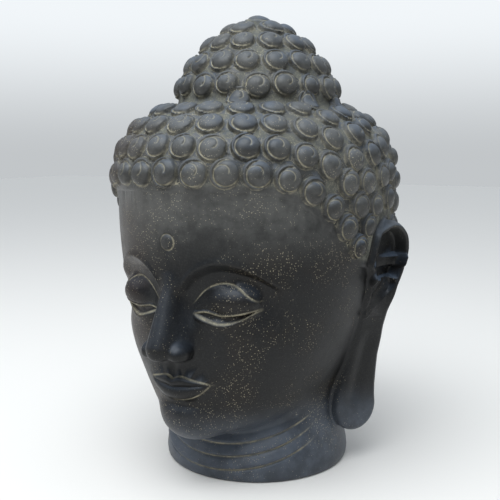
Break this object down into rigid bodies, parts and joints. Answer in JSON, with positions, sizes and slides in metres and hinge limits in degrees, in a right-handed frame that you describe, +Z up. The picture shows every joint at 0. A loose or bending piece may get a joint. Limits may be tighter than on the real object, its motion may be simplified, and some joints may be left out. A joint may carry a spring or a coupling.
{
  "type": "stone buddha head",
  "caption": "Dark carved stone head of the Buddha with lowered eyes, snail-shell curls, topknot and long ear lobes, cut flat below the neck.",
  "frame": {"origin": "centre of the neck's flat underside, which the head stands on", "axes": "+Z up through the topknot, -Y the way the face looks, +X towards the head's own left ear"},
  "size_m": [0.3358, 0.4016, 0.5],
  "materials": {
    "stone": "dark stone with a low sheen, pale dust in the carving and fine pale pits"
  },
  "bodies": {
    "root": {"buddha_head": "stone"}
  },
  "joints": []
}
